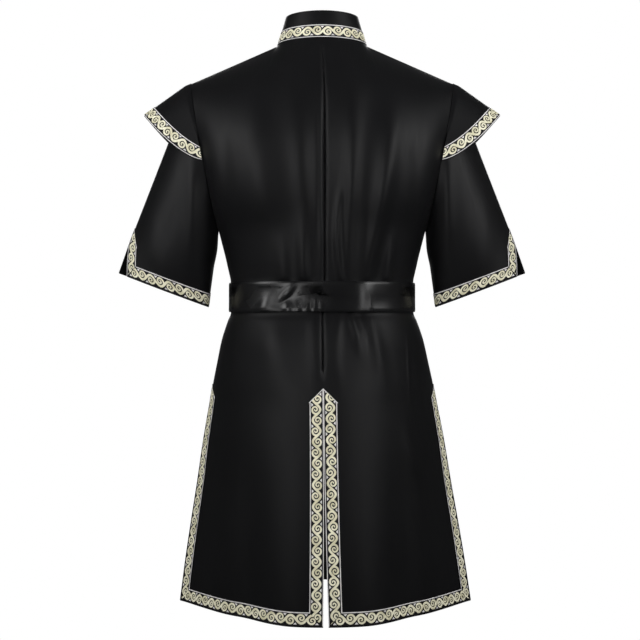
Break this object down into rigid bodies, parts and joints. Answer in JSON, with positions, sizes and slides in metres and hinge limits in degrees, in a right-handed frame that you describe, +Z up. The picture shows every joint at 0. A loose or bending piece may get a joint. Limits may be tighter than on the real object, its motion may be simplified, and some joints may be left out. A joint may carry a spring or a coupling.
{
  "type": "medieval tunic",
  "caption": "Knee-length black satin tunic with stand collar, flared shoulder caps, vented half sleeves and skirt, woven scroll ribbon trim and a broad belt, in its worn form.",
  "frame": {"origin": "middle of the neck, level with the inner ends of the shoulder seams, where a wearer's shoulders hold the tunic up", "axes": "+Z up along the standing wearer, +X towards the wearer's left, -Y towards the front"},
  "size_m": [0.7288, 0.3586, 1.0378],
  "materials": {
    "satin": "black satin with a soft sheen",
    "ribbon": "woven ribbon, cream scroll on black",
    "leather": "glossy black imitation leather"
  },
  "bodies": {
    "root": {"back_left": "satin", "back_right": "satin", "front_left": "satin", "front_right": "satin", "sleeve_left": "satin", "sleeve_right": "satin", "cap_left": "satin", "cap_right": "satin", "collar": "satin", "belt": "leather", "ribbon_collar": "ribbon", "ribbon_cap_left": "ribbon", "ribbon_cap_right": "ribbon", "ribbon_sleeve_hem_left": "ribbon", "ribbon_sleeve_hem_right": "ribbon", "ribbon_sleeve_vent_back_left": "ribbon", "ribbon_sleeve_vent_back_right": "ribbon", "ribbon_sleeve_vent_front_left": "ribbon", "ribbon_sleeve_vent_front_right": "ribbon", "ribbon_back_vent_left": "ribbon", "ribbon_back_vent_right": "ribbon", "ribbon_back_side_left": "ribbon", "ribbon_back_side_right": "ribbon", "ribbon_back_hem_left": "ribbon", "ribbon_back_hem_right": "ribbon", "ribbon_front_side_left": "ribbon", "ribbon_front_side_right": "ribbon", "ribbon_front_hem_left": "ribbon", "ribbon_front_hem_right": "ribbon"}
  },
  "joints": []
}
